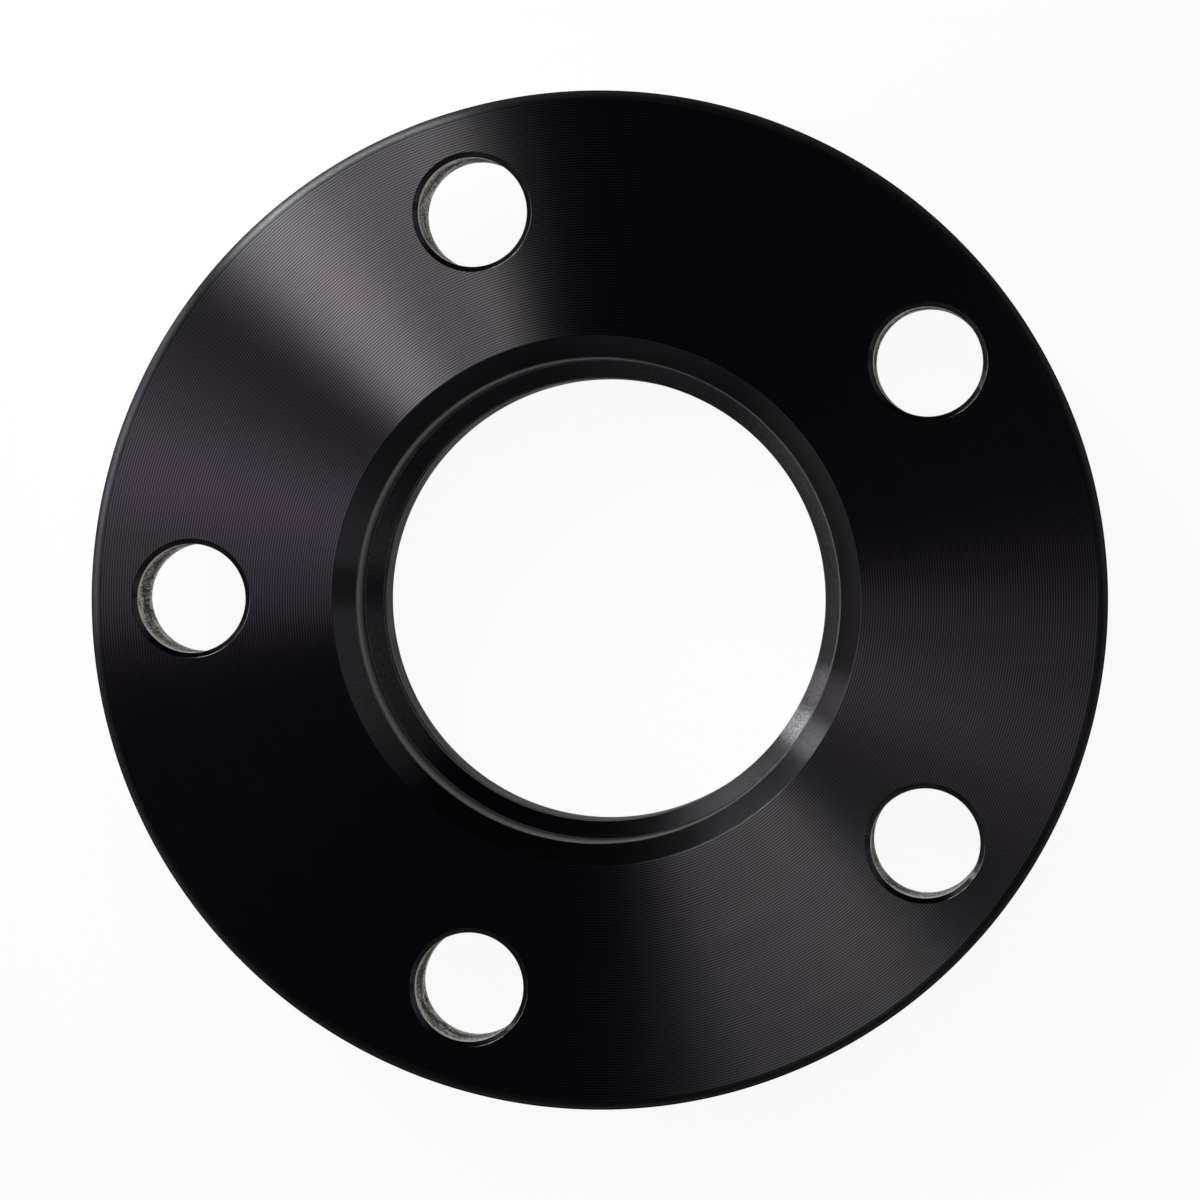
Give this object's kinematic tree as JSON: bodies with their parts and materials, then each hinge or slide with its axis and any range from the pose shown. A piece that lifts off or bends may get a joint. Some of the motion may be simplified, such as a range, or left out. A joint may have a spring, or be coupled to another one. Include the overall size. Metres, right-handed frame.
{
  "type": "wheel spacer",
  "caption": "Round black turned aluminium wheel spacer with a stepped hub recess, a wheel-centring lip and a circle of bolt holes, clamped between a hub and a wheel to move the wheel outwards.",
  "frame": {"origin": "on the spacer's axis, at the end of the wheel-side lip that it rests on", "axes": "+Z along the axis, out of the hub recess and away from the wheel; the first bolt hole lies on -X"},
  "size_m": [0.14, 0.14, 0.026],
  "materials": {
    "black_anodised": "black anodised, with fine concentric turning marks on the flat faces"
  },
  "bodies": {
    "root": {"spacer": "black_anodised"}
  },
  "joints": []
}
